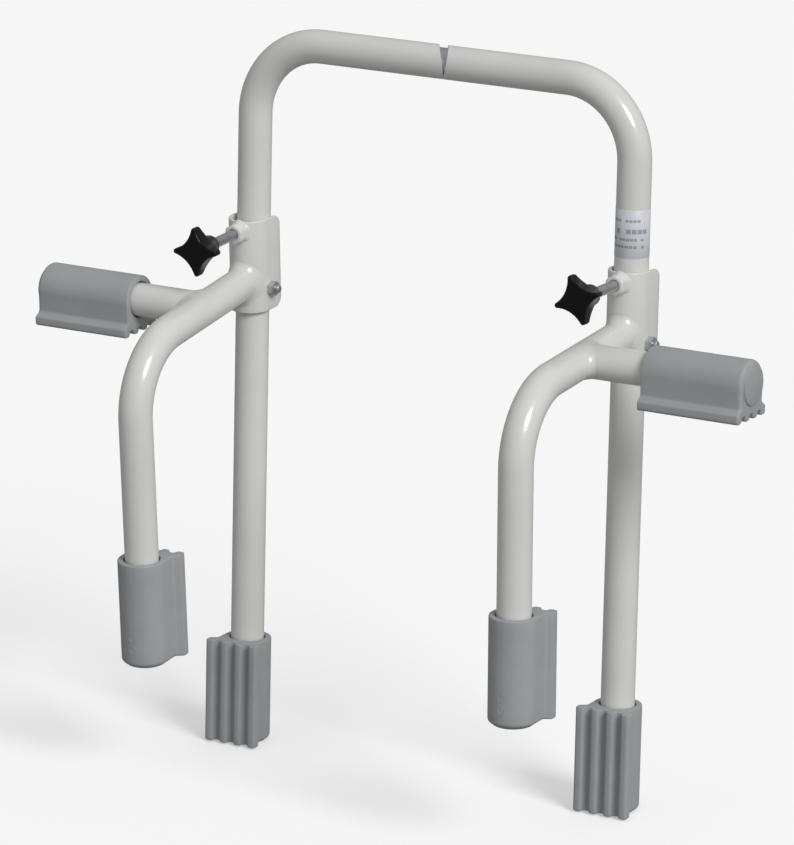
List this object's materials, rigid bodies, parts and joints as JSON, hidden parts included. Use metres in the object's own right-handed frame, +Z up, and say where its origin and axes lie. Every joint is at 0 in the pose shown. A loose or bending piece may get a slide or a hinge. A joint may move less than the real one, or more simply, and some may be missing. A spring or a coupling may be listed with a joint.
{
  "type": "clamp-on bath grab rail",
  "caption": "U-shaped tubular grab rail that clamps over a bath wall, with tilting padded J-arms, padded side rests and star-knob screws.",
  "frame": {"origin": "midway between the legs and between the faces that grip the bath wall, level with the rests on the wall's rim", "axes": "+X to the right along the handle bar, +Y to the rear towards the legs, +Z up"},
  "size_m": [0.586, 0.1996, 0.5507],
  "materials": {
    "powder_coat": "glossy white powder coat",
    "rubber": "satin grey soft rubber",
    "zinc": "bright zinc plate",
    "knob": "glossy black",
    "nylon": "natural nylon",
    "label": "blank white film label"
  },
  "bodies": {
    "handle": {"handle_tube_left": "powder_coat", "handle_tube_right": "powder_coat", "handle_spigot": "zinc", "leg_pad_left": "rubber", "leg_pad_right": "rubber", "rating_label": "label"},
    "clamp_left": {"bracket_left": "powder_coat", "clamp_arm_left": "powder_coat", "rest_stub_left": "powder_coat", "arm_pad_left": "rubber", "rest_pad_left": "rubber", "weld_nut_left": "powder_coat", "pivot_bolt_left": "zinc", "pivot_nut_left": "zinc"},
    "screw_tip_left": {"thrust_cap_left": "nylon"},
    "knob_left": {"star_knob_left": "knob", "clamp_screw_left": "zinc"},
    "clamp_right": {"bracket_right": "powder_coat", "clamp_arm_right": "powder_coat", "rest_stub_right": "powder_coat", "arm_pad_right": "rubber", "rest_pad_right": "rubber", "weld_nut_right": "powder_coat", "pivot_bolt_right": "zinc", "pivot_nut_right": "zinc"},
    "screw_tip_right": {"thrust_cap_right": "nylon"},
    "knob_right": {"star_knob_right": "knob", "clamp_screw_right": "zinc"}
  },
  "joints": [
    {"name": "left_clamp_pivot", "type": "hinge", "parent": "handle", "child": "clamp_left", "pos_m": [-0.1578, 0.082, 0.02498], "axis": [1, 0, 0], "range_deg": [-7, 5]},
    {"name": "left_screw_travel", "type": "slide", "parent": "clamp_left", "child": "screw_tip_left", "axis": [0, 0.9976, 0.0698], "range_m": [-0.0056, 0.004]},
    {"name": "left_knob_turn", "type": "hinge", "parent": "screw_tip_left", "child": "knob_left", "pos_m": [-0.1578, 0.01117, 0.06563], "axis": [0, 0.9976, 0.0698], "range_deg": [-1610, 1150]},
    {"name": "right_clamp_pivot", "type": "hinge", "parent": "handle", "child": "clamp_right", "pos_m": [0.1578, 0.082, 0.02498], "axis": [1, 0, 0], "range_deg": [-3, 9]},
    {"name": "right_screw_travel", "type": "slide", "parent": "clamp_right", "child": "screw_tip_right", "axis": [0, 1, 0], "range_m": [-0.0024, 0.0072]},
    {"name": "right_knob_turn", "type": "hinge", "parent": "screw_tip_right", "child": "knob_right", "pos_m": [0.1578, 0.011, 0.07047], "axis": [0, 1, 0], "range_deg": [-690, 2070]}
  ],
  "couplings": [
    {"joint": "left_screw_travel", "follows": "left_clamp_pivot", "m_per_rad": 0.0457},
    {"joint": "left_knob_turn", "follows": "left_clamp_pivot", "ratio": 229.71},
    {"joint": "right_screw_travel", "follows": "right_clamp_pivot", "m_per_rad": 0.0457},
    {"joint": "right_knob_turn", "follows": "right_clamp_pivot", "ratio": 229.71}
  ]
}
